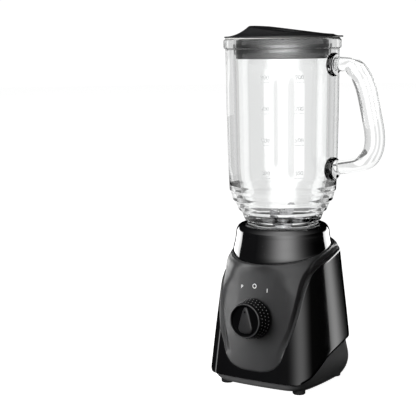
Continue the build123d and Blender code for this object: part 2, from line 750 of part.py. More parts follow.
with BuildPart() as lid:
    with BuildSketch(Plane.XY.offset(349.2)):
        Circle(59.6)
    extrude(amount=1.5)
    loft(sections=hat, ruled=True)
    with BuildSketch(Plane.XY.offset(plug_z)):
        Circle(plug_r)
    extrude(amount=21.0)
    add(lid_hollow.part, mode=Mode.SUBTRACT)
    # the guide tube is bored for the filler cap and has a stop ring at its lower end
    add(guide_tube.part)
    with BuildSketch(Plane.XY.offset(334.0)):
        with Locations((cap_x, 0)):
            Circle(cap_r + 0.4)
    extrude(amount=40.0, mode=Mode.SUBTRACT)
    with BuildSketch(Plane.XY.offset(330.0)):
        with Locations((cap_x, 0)):
            Circle(cap_r - 2.6)
    extrude(amount=10.0, mode=Mode.SUBTRACT)

with BuildPart() as lid_seal:
    with BuildSketch(Plane.XY.offset(rim_z)):
        Circle(57.2)
        Circle(48.6, mode=Mode.SUBTRACT)
    extrude(amount=1.2)

with BuildPart() as filler_cap:
    with BuildSketch(Plane.XY.offset(334.0)):
        with Locations((cap_x, 0)):
            Circle(cap_r)
    extrude(amount=34.0)
    split(bisect_by=Plane(origin=deck_plane.origin, x_dir=deck_plane.x_dir, z_dir=deck_plane.z_dir), keep=Keep.BOTTOM)
    with BuildSketch(Plane.XY.offset(334.0)):
        with Locations((cap_x, 0)):
            Circle(cap_r - 2.2)
    extrude(amount=16.6, mode=Mode.SUBTRACT)
    # two finger hollows with a grip web between them
    with BuildSketch(deck_plane):
        with Locations((cap_x - deck_x, 9.0), (cap_x - deck_x, -9.0)):
            SlotOverall(22.0, 9.0)
    extrude(amount=-3.2, mode=Mode.SUBTRACT)

# --- knob and switch --------------------------------------------------------------
with BuildPart() as knob_cap:
    with BuildSketch(Plane(origin=(0, knob_y, knob_z), x_dir=(1, 0, 0), z_dir=(0, knob_n[2], -knob_n[1]))):
        with BuildLine():
            Polyline((14.5, -0.4), (knob_base_r, -0.4), (knob_base_r, -2.0), (knob_front_r + 0.3, -knob_h + 1.0),
                     (knob_front_r - 0.4, -knob_h), (knob_front_r - 1.6, -knob_h), (knob_front_r - 2.0, -knob_h + 2.6),
                     (0, -knob_h + 2.6), (0, -12.6), (3.0, -12.6), (3.0, -6.2), (6.4, -6.2), (6.4, -9.8), (14.5, -9.8), close=True)
        make_face()
    revolve(axis=Axis((0, knob_y, knob_z), knob_n))
    # grip flutes round the skirt
    with BuildSketch(knob_plane.offset(3.0)):
        with PolarLocations(knob_base_r + 0.9, 40):
            Circle(1.15)
    extrude(amount=knob_h, mode=Mode.SUBTRACT)

with BuildPart() as knob_pointer:
    with BuildSketch(knob_plane.offset(knob_h - 2.6)):
        with BuildLine():
            tip = Polyline((-1.7, 11.2), (-7.6, -6.4))
            ThreePointArc((-7.6, -6.4), (0, -12.2), (7.6, -6.4))
            Polyline((7.6, -6.4), (1.7, 11.2))
            ThreePointArc((1.7, 11.2), (0, 12.6), (-1.7, 11.2))
        make_face()
    extrude(amount=2.8)
    chamfer(knob_pointer.faces().sort_by(Axis((0, 0, 0), knob_n))[-1].edges(), 0.6)
    with BuildSketch(knob_plane.offset(knob_h + 0.2)):
        with Locations((0, 8.6)):
            Circle(0.9)
    extrude(amount=-0.6, mode=Mode.SUBTRACT)

with BuildPart() as switch_spindle:
    with BuildSketch(knob_plane.offset(-16.0)):
        Circle(3.0)
    extrude(amount=28.6)

with BuildPart() as switch_body:
    with BuildSketch(knob_plane.offset(-22.4)):
        RectangleRounded(25.0, 27.0, 2.0)
    extrude(amount=15.4)
    with BuildSketch(knob_plane.offset(-8.0)):
        Circle(5.0)
    extrude(amount=11.2)
    with BuildSketch(knob_plane.offset(-16.0)):
        Circle(3.0 + running)
    extrude(amount=24, mode=Mode.SUBTRACT)
    # terminal blades on the back
    with BuildSketch(knob_plane.offset(-22.4)):
        with GridLocations(14.0, 0, 2, 1):
            Rectangle(0.8, 4.8)
    extrude(amount=-1.6)

with BuildPart() as switch_nut:
    with BuildSketch(knob_plane):
        RegularPolygon(7.6, 6)
        Circle(5.0, mode=Mode.SUBTRACT)
    extrude(amount=2.4)

# --- write the pieces ---------------------------------------------------------------
pieces = {
    "main_housing": main_housing, "front_apron": front_apron, "seat_collar": seat_collar,
    "bottom_plinth": bottom_plinth, "rubber_feet": rubber_feet, "plinth_screws": plinth_screws,
    "cord_gland": cord_gland, "stator_core": stator_core, "field_coils": field_coils,
    "upper_bracket": upper_bracket, "upper_bearing": upper_bearing, "lower_bracket": lower_bracket,
    "lower_bearing": lower_bearing, "motor_bolts": motor_bolts, "bolt_sleeves": bolt_sleeves,
    "motor_dampers": motor_dampers, "damper_screws": damper_screws, "brush_holders": brush_holders,
    "carbon_brushes": carbon_brushes, "brush_springs": brush_springs, "shaft_seal": shaft_seal,
    "motor_shaft": motor_shaft, "armature_core": armature_core, "armature_windings": armature_windings,
    "commutator": commutator, "cooling_fan": cooling_fan, "drive_coupling": drive_coupling,
    "driven_coupling": driven_coupling, "blade_shaft": blade_shaft, "blade_spacer": blade_spacer,
    "lower_blade": lower_blade, "upper_blade": upper_blade, "blade_nut": blade_nut,
    "glass_jar": glass_jar, "glass_handle": glass_handle, "blade_collar": blade_collar,
    "blade_seat": blade_seat, "shaft_bush": shaft_bush, "jar_gasket": jar_gasket,
    "lid": lid, "lid_seal": lid_seal, "filler_cap": filler_cap,
    "knob_cap": knob_cap, "knob_pointer": knob_pointer, "switch_spindle": switch_spindle,
    "switch_body": switch_body, "switch_nut": switch_nut,
}
for label, piece in pieces.items():
    piece.part.label = label
    export_step(piece.part, f"parts/{label}.step")

with BuildPart() as filled:
    add(jar_inner.part)
    split(bisect_by=Plane.XY.offset(318), keep=Keep.BOTTOM)
print(f"jar holds about {filled.part.volume / 1e6:.2f} L up to z = 318")
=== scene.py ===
import bpy
import math
import numpy as np
from mathutils import Matrix, Vector
from mathutils.kdtree import KDTree


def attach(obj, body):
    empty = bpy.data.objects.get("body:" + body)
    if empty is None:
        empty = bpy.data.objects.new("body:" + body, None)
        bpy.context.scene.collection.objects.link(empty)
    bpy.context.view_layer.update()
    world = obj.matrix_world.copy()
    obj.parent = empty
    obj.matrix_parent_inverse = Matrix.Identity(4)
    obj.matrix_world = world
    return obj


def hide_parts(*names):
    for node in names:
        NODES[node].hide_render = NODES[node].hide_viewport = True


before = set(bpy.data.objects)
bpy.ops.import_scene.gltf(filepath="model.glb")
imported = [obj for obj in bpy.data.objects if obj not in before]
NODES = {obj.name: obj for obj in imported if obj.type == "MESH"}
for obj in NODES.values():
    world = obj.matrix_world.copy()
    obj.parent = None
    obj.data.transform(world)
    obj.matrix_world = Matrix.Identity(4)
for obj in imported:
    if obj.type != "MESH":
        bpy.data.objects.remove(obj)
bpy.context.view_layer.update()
MM = 0.001
PI = math.pi


# ---------------------------------------------------------------- small maths
def sstep(e0, e1, x):
    t = np.clip((x - e0) / (e1 - e0), 0.0, 1.0)
    return t * t * (3 - 2 * t)


def smin(a, b, k):
    h = np.clip(0.5 + 0.5 * (b - a) / k, 0.0, 1.0)
    return b * (1 - h) + a * h - k * h * (1 - h)


def smax(a, b, k):
    return -smin(-a, -b, k)


def pchip(points):
    xs = np.array([p[0] for p in points], float)
    ys = np.array([p[1] for p in points], float)
    h = np.diff(xs)
    d = np.diff(ys) / h
    m = np.zeros_like(ys)
    for i in range(1, len(xs) - 1):
        if d[i - 1] * d[i] > 0:
            w1, w2 = 2 * h[i] + h[i - 1], h[i] + 2 * h[i - 1]
            m[i] = (w1 + w2) / (w1 / d[i - 1] + w2 / d[i])
    m[0], m[-1] = d[0], d[-1]

    def f(x):
        x = np.clip(np.asarray(x, float), xs[0], xs[-1])
        i = np.clip(np.searchsorted(xs, x) - 1, 0, len(xs) - 2)
        t = (x - xs[i]) / h[i]
        return ((1 + 2 * t) * (1 - t) ** 2 * ys[i] + t * (1 - t) ** 2 * h[i] * m[i]
                + t * t * (3 - 2 * t) * ys[i + 1] + t * t * (t - 1) * h[i] * m[i + 1])
    return f


def rounded(points, radius, steps=5, closed=False):
    """A polyline with its corners turned into short arcs (quadratic curves)."""
    pts = [np.array(p, float) for p in points]
    n = len(pts)
    out = []
    for i, p in enumerate(pts):
        if not closed and i in (0, n - 1):
            out.append(p)
            continue
        a, b = pts[i - 1], pts[(i + 1) % n]
        la, lb = np.linalg.norm(a - p), np.linalg.norm(b - p)
        r = radius[i] if isinstance(radius, (list, tuple)) else radius
        cut_a, cut_b = min(r, la * 0.46), min(r, lb * 0.46)
        s, e = p + (a - p) / la * cut_a, p + (b - p) / lb * cut_b
        for j in range(steps + 1):
            t = j / steps
            out.append((1 - t) ** 2 * s + 2 * t * (1 - t) * p + t * t * e)
    return np.array(out)


# ---------------------------------------------------------------- mesh helpers
def link(obj):
    bpy.context.scene.collection.objects.link(obj)
    return obj


def grid_object(name, P, wrap_rows=False, wrap_cols=True, flip=False, sharp=40.0, caps=False):
    """P is rows x columns x 3 in mm."""
    rows, cols = P.shape[:2]
    verts = (P.reshape(-1, 3) * MM)
    r = np.arange(rows if wrap_rows else rows - 1)
    c = np.arange(cols if wrap_cols else cols - 1)
    R, C = np.meshgrid(r, c, indexing="ij")
    R2, C2 = (R + 1) % rows, (C + 1) % cols
    quads = np.stack([R * cols + C, R * cols + C2, R2 * cols + C2, R2 * cols + C], -1).reshape(-1, 4)
    if flip:
        quads = quads[:, ::-1]
    faces = quads.tolist()
    if caps:
        first = list(range(cols))
        last = [(rows - 1) * cols + i for i in range(cols)]
        faces += [first[::-1], last] if not flip else [first, last[::-1]]
    return mesh_object(name, verts, faces, sharp)


def mesh_object(name, verts, faces, sharp=40.0):
    me = bpy.data.meshes.new(name)
    me.from_pydata([tuple(v) for v in verts], [], [tuple(f) for f in faces])
    me.validate()
    me.polygons.foreach_set("use_smooth", [True] * len(me.polygons))
    me.update()
    if sharp:
        me.set_sharp_from_angle(angle=math.radians(sharp))
    return link(bpy.data.objects.new(name, me))


def outward(obj):
    """Turns the faces of a closed mesh outward."""
    import bmesh
    bm = bmesh.new()
    bm.from_mesh(obj.data)
    bmesh.ops.remove_doubles(bm, verts=bm.verts, dist=1e-7)
    bmesh.ops.recalc_face_normals(bm, faces=bm.faces)
    bm.to_mesh(obj.data)
    bm.free()
    obj.data.polygons.foreach_set("use_smooth", [True] * len(obj.data.polygons))
    obj.data.update()
    return obj


def baked(obj, name):
    """The object with its modifiers applied, as a new plain mesh."""
    dg = bpy.context.evaluated_depsgraph_get()
    me = bpy.data.meshes.new_from_object(obj.evaluated_get(dg))
    me.name = name
    new = link(bpy.data.objects.new(name, me))
    return new


def joined(name, objs):
    verts, faces, mats = [], [], []
    for o in objs:
        base = len(verts)
        verts += [tuple(o.matrix_world @ v.co) for v in o.data.vertices]
        faces += [tuple(base + i for i in p.vertices) for p in o.data.polygons]
    for o in objs:
        bpy.data.objects.remove(o)
    return mesh_object(name, verts, faces)


def piece(obj, body, slot, material, *replaced):
    obj.data.materials.clear()
    obj.data.materials.append(material)
    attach(obj, body)
    if replaced:
        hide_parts(*replaced)
    return obj


# ---------------------------------------------------------------- materials
def new_material(name):
    m = bpy.data.materials.new(name)
    m.use_nodes = True
    nt = m.node_tree
    return m, nt, nt.nodes["Principled BSDF"]


def noise(nt, scale, detail=3.0, stretch=None, seed=0.0, rough=0.55):
    tc = nt.nodes.new("ShaderNodeTexCoord")
    vec = tc.outputs["Object"]
    mp = nt.nodes.new("ShaderNodeMapping")
    mp.inputs["Location"].default_value = (seed, seed * 0.7, seed * 1.3)
    if stretch:
        mp.inputs["Scale"].default_value = stretch
    nt.links.new(vec, mp.inputs["Vector"])
    n = nt.nodes.new("ShaderNodeTexNoise")
    n.inputs["Scale"].default_value = scale
    n.inputs["Detail"].default_value = detail
    n.inputs["Roughness"].default_value = rough
    nt.links.new(mp.outputs["Vector"], n.inputs["Vector"])
    return n.outputs["Fac"]


def ranged(nt, value, lo, hi, a=0.3, b=0.7):
    r = nt.nodes.new("ShaderNodeMapRange")
    r.inputs["From Min"].default_value = a
    r.inputs["From Max"].default_value = b
    r.inputs["To Min"].default_value = lo
    r.inputs["To Max"].default_value = hi
    nt.links.new(value, r.inputs["Value"])
    return r.outputs["Result"]


def tinted(nt, value, low, high, a=0.3, b=0.7):
    ramp = nt.nodes.new("ShaderNodeValToRGB")
    ramp.color_ramp.elements[0].position = a
    ramp.color_ramp.elements[0].color = (*low, 1)
    ramp.color_ramp.elements[1].position = b
    ramp.color_ramp.elements[1].color = (*high, 1)
    nt.links.new(value, ramp.inputs["Fac"])
    return ramp.outputs["Color"]


def bumped(nt, bsdf, layers):
    """layers: (height socket, strength, distance in m), stacked."""
    last = None
    for height, strength, distance in layers:
        b = nt.nodes.new("ShaderNodeBump")
        b.inputs["Strength"].default_value = strength
        b.inputs["Distance"].default_value = distance
        nt.links.new(height, b.inputs["Height"])
        if last is not None:
            nt.links.new(last, b.inputs["Normal"])
        last = b.outputs["Normal"]
    nt.links.new(last, bsdf.inputs["Normal"])


def moulded(name, low, high, rough, grain, grain_strength, specular=0.5, coat=0.0, wave=0.0, seed=0.0):
    """Moulded plastic: slow tone drift, patchy gloss, fine grain and a slight moulding wave."""
    m, nt, b = new_material(name)
    nt.links.new(tinted(nt, noise(nt, 38, 4, seed=seed), low, high), b.inputs["Base Color"])
    nt.links.new(ranged(nt, noise(nt, 90, 5, seed=seed + 3), *rough), b.inputs["Roughness"])
    b.inputs["Specular IOR Level"].default_value = specular
    b.inputs["IOR"].default_value = 1.5
    if coat:
        b.inputs["Coat Weight"].default_value = coat
        b.inputs["Coat Roughness"].default_value = 0.03
        b.inputs["Coat IOR"].default_value = 1.5
    layers = [(noise(nt, grain, 2, seed=seed + 5), grain_strength, 0.00012)]
    if wave:
        layers.append((noise(nt, 60, 1, seed=seed + 9), wave, 0.0004))
    bumped(nt, b, layers)
    return m


def metal(name, low, high, rough, stretch, scale=320, specular=0.5, seed=0.0):
    m, nt, b = new_material(name)
    b.inputs["Metallic"].default_value = 1.0
    streak = noise(nt, scale, 4, stretch=stretch, seed=seed)
    nt.links.new(tinted(nt, streak, low, high), b.inputs["Base Color"])
    nt.links.new(ranged(nt, noise(nt, 140, 4, seed=seed + 2), *rough), b.inputs["Roughness"])
    bumped(nt, b, [(streak, 0.12, 0.00008)])
    return m


GLOSS = moulded("gloss_black_plastic", (0.0032, 0.0032, 0.0035), (0.0048, 0.0048, 0.0052), (0.055, 0.085), 700, 0.012,
                coat=0.35, wave=0.01, seed=1.0)
MATTE = moulded("matte_charcoal_plastic", (0.0205, 0.0205, 0.0211), (0.025, 0.025, 0.0257), (0.34, 0.42), 2400, 0.26, specular=0.28, seed=4.0)
# plinth plastic: partly its own grey, partly painted light, made lighter to lift it out of the shade under the housing
PLINTH = moulded("matte_plinth_plastic", (0.126, 0.126, 0.128), (0.143, 0.143, 0.145), (0.46, 0.54), 2100, 0.34, specular=0.22, seed=7.0)
LIDMAT = moulded("satin_lid_plastic", (0.015, 0.015, 0.016), (0.020, 0.020, 0.021), (0.27, 0.34), 1900, 0.14, specular=0.5, seed=11.0)
KNOBMAT = moulded("knob_plastic", (0.0016, 0.0016, 0.0018), (0.0024, 0.0024, 0.0026), (0.30, 0.38), 2200, 0.16, specular=0.05, seed=15.0)
# lighter grey for the knob's front rim faces: a painted highlight along the edge
KNOB_RIM_PAINTED_HIGHLIGHT = moulded("knob_rim_painted_highlight", (0.040, 0.040, 0.041), (0.055, 0.055, 0.056), (0.26, 0.34), 2200, 0.12, seed=17.0)
# light grey for the knob's grip dots: a painted highlight standing in for the glint on each dark gloss dot
KNOB_DOT_PAINTED_GLINT = moulded("knob_dot_painted_glint", (0.17, 0.17, 0.17), (0.22, 0.22, 0.222), (0.34, 0.42), 2200, 0.12, seed=18.0)
POINTER = moulded("pointer_plastic", (0.018, 0.018, 0.0186), (0.025, 0.025, 0.0257), (0.34, 0.42), 2500, 0.26, specular=0.45, seed=19.0)
RUBBER = moulded("foot_rubber", (0.012, 0.012, 0.0125), (0.020, 0.020, 0.021), (0.55, 0.68), 1300, 0.40, specular=0.4, seed=21.0)
INNER = moulded("inner_black_plastic", (0.010, 0.010, 0.0105), (0.015, 0.015, 0.016), (0.34, 0.44), 1700, 0.24, seed=23.0)
GASKET = moulded("seal_rubber", (0.42, 0.42, 0.41), (0.52, 0.52, 0.50), (0.50, 0.62), 1300, 0.22, specular=0.4, seed=25.0)
PRINT = moulded("printed_marks", (0.62, 0.62, 0.62), (0.74, 0.74, 0.74), (0.42, 0.52), 2600, 0.10, specular=0.35, seed=27.0)
STEEL = metal("blade_steel", (0.50, 0.50, 0.51), (0.68, 0.68, 0.69), (0.16, 0.26), (1.0, 6.0, 6.0), seed=31.0)
SHAFT = metal("machined_steel", (0.42, 0.42, 0.43), (0.56, 0.56, 0.57), (0.22, 0.34), (5.0, 5.0, 0.6), seed=33.0)
LAMINATION = metal("lamination_stack", (0.16, 0.155, 0.15), (0.34, 0.33, 0.32), (0.38, 0.55), (0.4, 0.4, 6.0), scale=420, seed=35.0)
COPPER = metal("enamelled_copper", (0.48, 0.17, 0.06), (0.70, 0.28, 0.11), (0.22, 0.34), (7.0, 7.0, 0.8), scale=380, seed=37.0)
BRONZE = metal("sintered_bronze", (0.36, 0.22, 0.09), (0.52, 0.34, 0.15), (0.34, 0.48), (1.0, 1.0, 1.0), scale=900, seed=39.0)
CARBON = moulded("carbon_brush", (0.010, 0.010, 0.010), (0.022, 0.022, 0.022), (0.5, 0.62), 1500, 0.3, seed=41.0)


def glass_material():
    m, nt, b = new_material("pressed_clear_glass")
    nt.links.new(tinted(nt, noise(nt, 14, 2, seed=51.0), (0.975, 0.982, 0.980), (0.99, 0.994, 0.992)), b.inputs["Base Color"])
    nt.links.new(ranged(nt, noise(nt, 160, 3, seed=52.0), 0.0, 0.012), b.inputs["Roughness"])
    b.inputs["Transmission Weight"].default_value = 1.0
    b.inputs["IOR"].default_value = 1.49
    bumped(nt, b, [(noise(nt, 16, 1, stretch=(1, 1, 0.35), seed=53.0), 0.02, 0.0010)])
    return m


def relief_material():
    m, nt, b = new_material("frosted_relief_glass")
    nt.links.new(tinted(nt, noise(nt, 400, 3, seed=55.0), (0.86, 0.87, 0.87), (0.94, 0.95, 0.95)), b.inputs["Base Color"])
    nt.links.new(ranged(nt, noise(nt, 600, 3, seed=56.0), 0.22, 0.36), b.inputs["Roughness"])
    b.inputs["Transmission Weight"].default_value = 0.9
    b.inputs["IOR"].default_value = 1.49
    bumped(nt, b, [(noise(nt, 1800, 2, seed=57.0), 0.15, 0.00008)])
    return m


GLASS, RELIEF = glass_material(), relief_material()

# ---------------------------------------------------------------- base surfaces
BOW = 3.2
half_at = pchip([(11, 60.4), (60, 56.3), (113, 51.4), (156, 47.6)])
shift_at = pchip([(11, -2.0), (60, -0.9), (113, -0.3), (156, 0.0)])
front_at = pchip([(11, 20.0), (60, 19.5), (113, 20.0), (156, 20.0)])
rear_at = pchip([(11, 22.5), (60, 21.5), (113, 20.5), (156, 20.0)])
NORM = np.array([0.0, -0.2149, 0.9766])
dome_profile = pchip([(-190, 190), (-95, 125), (-50, 89), (-26, 69.5), (-19, 64.2), (-14, 61.0), (-8, 57.6), (-4, 54.8), (0, 50.6), (6, 46.5), (30, 36)])


def inside_env(x, y, half, shift, front, rear):
    """Inside a bowed square with rounded corners, wider at the rear corners."""
    y = y - shift
    cr = np.where(y < 0, front, rear)
    x, y = np.abs(x), np.abs(y)
    c = half - BOW
    Ra = (c * c + BOW * BOW) / (2 * BOW)
    k = Ra - half
    f = (-k + np.sqrt(2 * (Ra - cr) ** 2 - k * k)) / 2
    side = np.maximum(np.hypot(x, y + k), np.hypot(x + k, y)) - Ra
    corner = (x * (f + k) > f * (y + k)) & (y * (f + k) > f * (x + k))
    return np.where(corner, np.hypot(x - f, y - f) - cr, side) <= 0


def env_r(phi, z):
    phi, z = np.broadcast_arrays(np.asarray(phi, float), np.asarray(z, float))
    half, shift, front, rear = half_at(z), shift_at(z), front_at(z), rear_at(z)
    dx, dy = np.sin(phi), -np.cos(phi)
    lo, hi = np.full(phi.shape, 20.0), np.full(phi.shape, 95.0)
    for _ in range(34):
        m = (lo + hi) / 2
        ok = inside_env(m * dx, m * dy, half, shift, front, rear)
        lo, hi = np.where(ok, m, lo), np.where(ok, hi, m)
    return (lo + hi) / 2


def dome_r(phi, z):
    phi, z = np.broadcast_arrays(np.asarray(phi, float), np.asarray(z, float))
    dx, dy = np.sin(phi), -np.cos(phi)
    lo, hi = np.full(phi.shape, 15.0), np.full(phi.shape, 110.0)
    for _ in range(34):
        m = (lo + hi) / 2
        x, y, zz = m * dx, m * dy + 2.0, z - 138.76
        v = y * NORM[1] + zz * NORM[2]
        rho = np.sqrt(np.maximum(x * x + y * y + zz * zz - v * v, 0))
        inside = rho <= dome_profile(v)
        lo, hi = np.where(inside, m, lo), np.where(inside, hi, m)
    return (lo + hi) / 2


def base_r(phi, z):
    return smin(env_r(phi, z), dome_r(phi, z), 3.0)


collar_profile = pchip([(100, 53.4), (119, 52.6), (126, 51.9), (134.8, 51.0), (148, 48.2), (154, 47.4)])


def seam_z(phi):
    z = np.full(phi.shape, 136.0)
    for _ in range(8):
        z = 139.2 - 0.22 * collar_profile(z) * np.cos(phi)
    return z


# edge between the matte apron and the gloss housing: height against the angle from the front
edge_deg = [(0, 21.5), (10, 22.0), (16, 23.4), (21.4, 26.0), (25, 29.6), (28, 34.0), (32.2, 47.0), (38.2, 64.2), (43.5, 81.8), (47.8, 96.8), (51.2, 105.6),
            (55.8, 112.8), (62, 118.6), (69.2, 122.5), (82, 125.6), (96.5, 127.8), (112, 131.2), (128.2, 135.0), (150, 138.3), (180, 139.0)]
edge_profile = pchip(edge_deg)


def edge_z(phi):
    return edge_profile(np.degrees(np.abs((phi + PI) % (2 * PI) - PI)))


plinth_profile = pchip([(-75, 12.3), (-58, 12.9), (-53, 15.2), (-45, 18), (-37, 20.9), (-27, 25.2), (-20, 28.4), (-12.6, 31.7), (0, 35.2),
                        (16.6, 38.7), (34, 42), (75, 49)])


def plinth_z(phi):
    z = np.full(phi.shape, 25.0)
    for _ in range(12):
        z = 0.5 * z + 0.5 * plinth_profile(-env_r(phi, z) * np.cos(phi))
    return z


def polar(phi, r, z):
    return np.stack(np.broadcast_arrays(r * np.sin(phi), -r * np.cos(phi), z), -1)


COLS = 720
PHI = np.linspace(-PI, PI, COLS, endpoint=False)
Z_EDGE, Z_SEAM, Z_PLINTH = edge_z(PHI), seam_z(PHI), plinth_z(PHI)

# matte apron with its S-shaped channel
fine = np.linspace(-PI, PI, 4000, endpoint=False)
edge_pts = polar(fine, base_r(fine, edge_z(fine)), edge_z(fine))
tree = KDTree(len(edge_pts))
for i, p in enumerate(edge_pts):
    tree.insert(p, i)
tree.balance()


def apron_offset(P):
    flat = P.reshape(-1, 3)
    s, zn = np.zeros(len(flat)), np.zeros(len(flat))
    for i, p in enumerate(flat):
        co, idx, dist = tree.find(p)
        s[i], zn[i] = dist, co[2]
    rear = np.degrees(np.abs(np.arctan2(flat[:, 0], -flat[:, 1])))
    depth = 4.3 * sstep(30, 58, zn) * (1 - 0.66 * sstep(92, 140, rear))
    wide = 7.4 + 2.4 * sstep(92, 122, zn) - 3.6 * sstep(92, 140, rear)
    back = np.clip((s - 1.2) / (wide - 1.2), 0, 1)
    rise = 1 - back
    rise = np.where(rise < 0.16, rise * rise / 0.32 + 0.0, rise - 0.08)
    groove = sstep(0.2, 1.7, s) * np.maximum(rise, 0)
    off = 0.45 * sstep(0.0, 1.6, s) - depth * groove
    off = off - 1.1 * sstep(19, 37, np.abs(flat[:, 0])) * sstep(45, 75, flat[:, 2]) * (1 - sstep(112, 128, flat[:, 2])) * (1 - sstep(50, 70, rear))
    return off.reshape(P.shape[:2])


def apron_outer(rows):
    phi = PHI[None, :]
    z = Z_EDGE[None, :] + (Z_SEAM - Z_EDGE)[None, :] * rows[:, None]
    r = base_r(np.broadcast_to(phi, z.shape), z)
    P = polar(phi, r, z)
    off = apron_offset(P)
    below = (Z_SEAM[None, :] - z)
    near = 1 - sstep(0.5, 9.0, below)
    r2 = r + off
    r2 = r2 + near * (smax(r2, collar_profile(z) + 0.2, 3.0) - r2)
    r2 = r2 - 0.9 * (1 - sstep(0.0, 1.1, below))
    r2 = r2 - 0.12 * (1 - sstep(0.0, 0.5, z - Z_EDGE[None, :]))
    return phi, r2, z, r


rows = np.concatenate([0.10 * np.linspace(0, 1, 22, endpoint=False) ** 1.5, np.linspace(0.10, 0.5, 34, endpoint=False),
                       np.linspace(0.5, 0.94, 26, endpoint=False), 1 - 0.06 * np.linspace(1, 0, 12) ** 1.6])
phi, r_out, z_out, r_ref = apron_outer(rows)
outer = polar(phi, r_out, z_out)
inner = polar(phi, r_ref - 7.5, z_out)[::-4]
apron = grid_object("front_apron_shell", np.concatenate([outer, inner]), wrap_rows=True, sharp=60)
outward(apron)
piece(apron, "base", "matte_charcoal", MATTE, "front_apron")

# gloss housing between the plinth and the apron
hrows = np.concatenate([[0.0], np.linspace(0.004, 0.985, 44), [0.993, 1.0]])
lo, hi = Z_PLINTH + 0.15, Z_EDGE - 0.12
z_h = lo[None, :] + (hi - lo)[None, :] * hrows[:, None]
r_h = base_r(np.broadcast_to(PHI[None, :], z_h.shape), z_h)
trim = np.zeros(len(hrows))
trim[0], trim[1], trim[-2], trim[-1] = 0.55, 0.12, 0.03, 0.28
outer = polar(PHI[None, :], r_h - trim[:, None], z_h)
inner = polar(PHI[None, :], r_h - 3.0, z_h)[::-6]
housing = grid_object("housing_shell", np.concatenate([outer, inner]), wrap_rows=True, sharp=60)
outward(housing)
piece(housing, "base", "gloss_black", GLOSS, "main_housing")

# gloss collar and jar cup
low_rows = []
zs = Z_SEAM
for dr, dz in ((-2.4, -5.0), (-1.5, -0.6), (-0.45, -0.05), (-0.08, 0.35)):
    z = zs + dz
    low_rows.append(polar(PHI, collar_profile(z) + dr, z))
for t in np.linspace(0.03, 1, 16):
    z = zs + 0.35 + (152.5 - zs) * t
    low_rows.append(polar(PHI, collar_profile(z), z))
lip = rounded([(47.52, 153.4), (47.05, 157.2), (44.6, 161.4), (40.8, 163.0), (37.9, 161.9), (37.0, 158.6), (37.0, 150.0), (37.0, 138.2),
               (35.4, 136.0), (24.0, 136.0), (9.6, 136.0), (9.6, 132.6), (30.0, 132.6), (43.0, 131.0), (44.5, 124.0)], 4.0, 6)
lip_rows = [polar(PHI, np.full(COLS, R), np.full(COLS, Z)) for R, Z in lip]
collar = grid_object("seat_collar_shell", np.stack(low_rows + lip_rows), wrap_rows=True, sharp=50)
outward(collar)
piece(collar, "base", "gloss_black", GLOSS, "seat_collar")


# ---------------------------------------------------------------- knob
K0 = np.array([0.0, -56.1, 74.5])
KA = np.array([0.0, -math.cos(math.radians(2)), math.sin(math.radians(2))])
KU = np.array([0.0, math.sin(math.radians(2)), math.cos(math.radians(2))])
KX = np.array([1.0, 0.0, 0.0])


def knob_pt(u, v, d):
    u, v, d = np.broadcast_arrays(np.asarray(u, float), np.asarray(v, float), np.asarray(d, float))
    return K0 + u[..., None] * KX + v[..., None] * KU + d[..., None] * KA


ang = np.linspace(0, 2 * PI, 144, endpoint=False)
profile = rounded([(16.0, 0.5), (19.6, 0.5), (19.85, 1.6), (19.45, 4.0), (17.45, 17.2), (16.9, 18.6), (15.5, 18.6), (15.15, 18.0),
                   (14.9, 16.1), (13.8, 16.0), (6.0, 16.0), (0.4, 16.0)], [0, 0.5, 0.8, 1.0, 0.9, 0.6, 0.4, 0.5, 0.5, 0.8, 0.5, 0.1], 4)
ring = np.stack([knob_pt(R * np.cos(ang), R * np.sin(ang), np.full(144, d)) for R, d in profile])
knob = grid_object("knob_body", ring, caps=True, sharp=45)
outward(knob)
piece(knob, "knob", "knob_black", KNOBMAT, "knob_cap")
# the front rim faces take the lighter grey: a painted highlight on the knob's edge
knob.data.materials.append(KNOB_RIM_PAINTED_HIGHLIGHT)
painted_rim_lo = max(float(np.dot(knob_pt(0, 0, 18.25) - K0, KA)), 0)
for p in knob.data.polygons:
    c = np.array(p.center) / MM - K0
    d = float(c @ KA)
    rad = math.hypot(float(c @ KX), float(c @ KU))
    if d > painted_rim_lo and 15.9 < rad < 17.0:
        p.material_index = 1

# raised grip dots on the knob skirt; their light grey is a painted highlight on each dot
dots_v, dots_f = [], []
for row, (d, count, size) in enumerate(((4.6, 34, 0.62), (9.4, 34, 0.60), (14.2, 34, 0.56))):
    R = np.interp(d, [4.0, 17.2], [19.45, 17.45])
    for i in range(count):
        a = 2 * PI * (i + 0.5 * (row % 2)) / count
        radial = math.cos(a) * KX + math.sin(a) * KU
        tang = -math.sin(a) * KX + math.cos(a) * KU
        centre = K0 + R * radial + d * KA
        base = len(dots_v)
        for ringi, (rr, h) in enumerate(((1.0, -0.15), (0.92, 0.16), (0.62, 0.34), (0.25, 0.42))):
            for j in range(10):
                b = 2 * PI * j / 10
                dots_v.append((centre + size * rr * (math.cos(b) * tang + math.sin(b) * KA) + h * radial) * MM)
        for ringi in range(3):
            for j in range(10):
                a0, a1 = base + ringi * 10 + j, base + ringi * 10 + (j + 1) % 10
                dots_f.append((a0, a1, a1 + 10, a0 + 10))
        dots_f.append(tuple(base + 30 + j for j in range(10)))
        dots_f.append(tuple(base + 9 - j for j in range(10)))
dots = mesh_object("knob_grip_dots", dots_v, dots_f)
piece(dots, "knob", "pointer_grey", KNOB_DOT_PAINTED_GLINT)

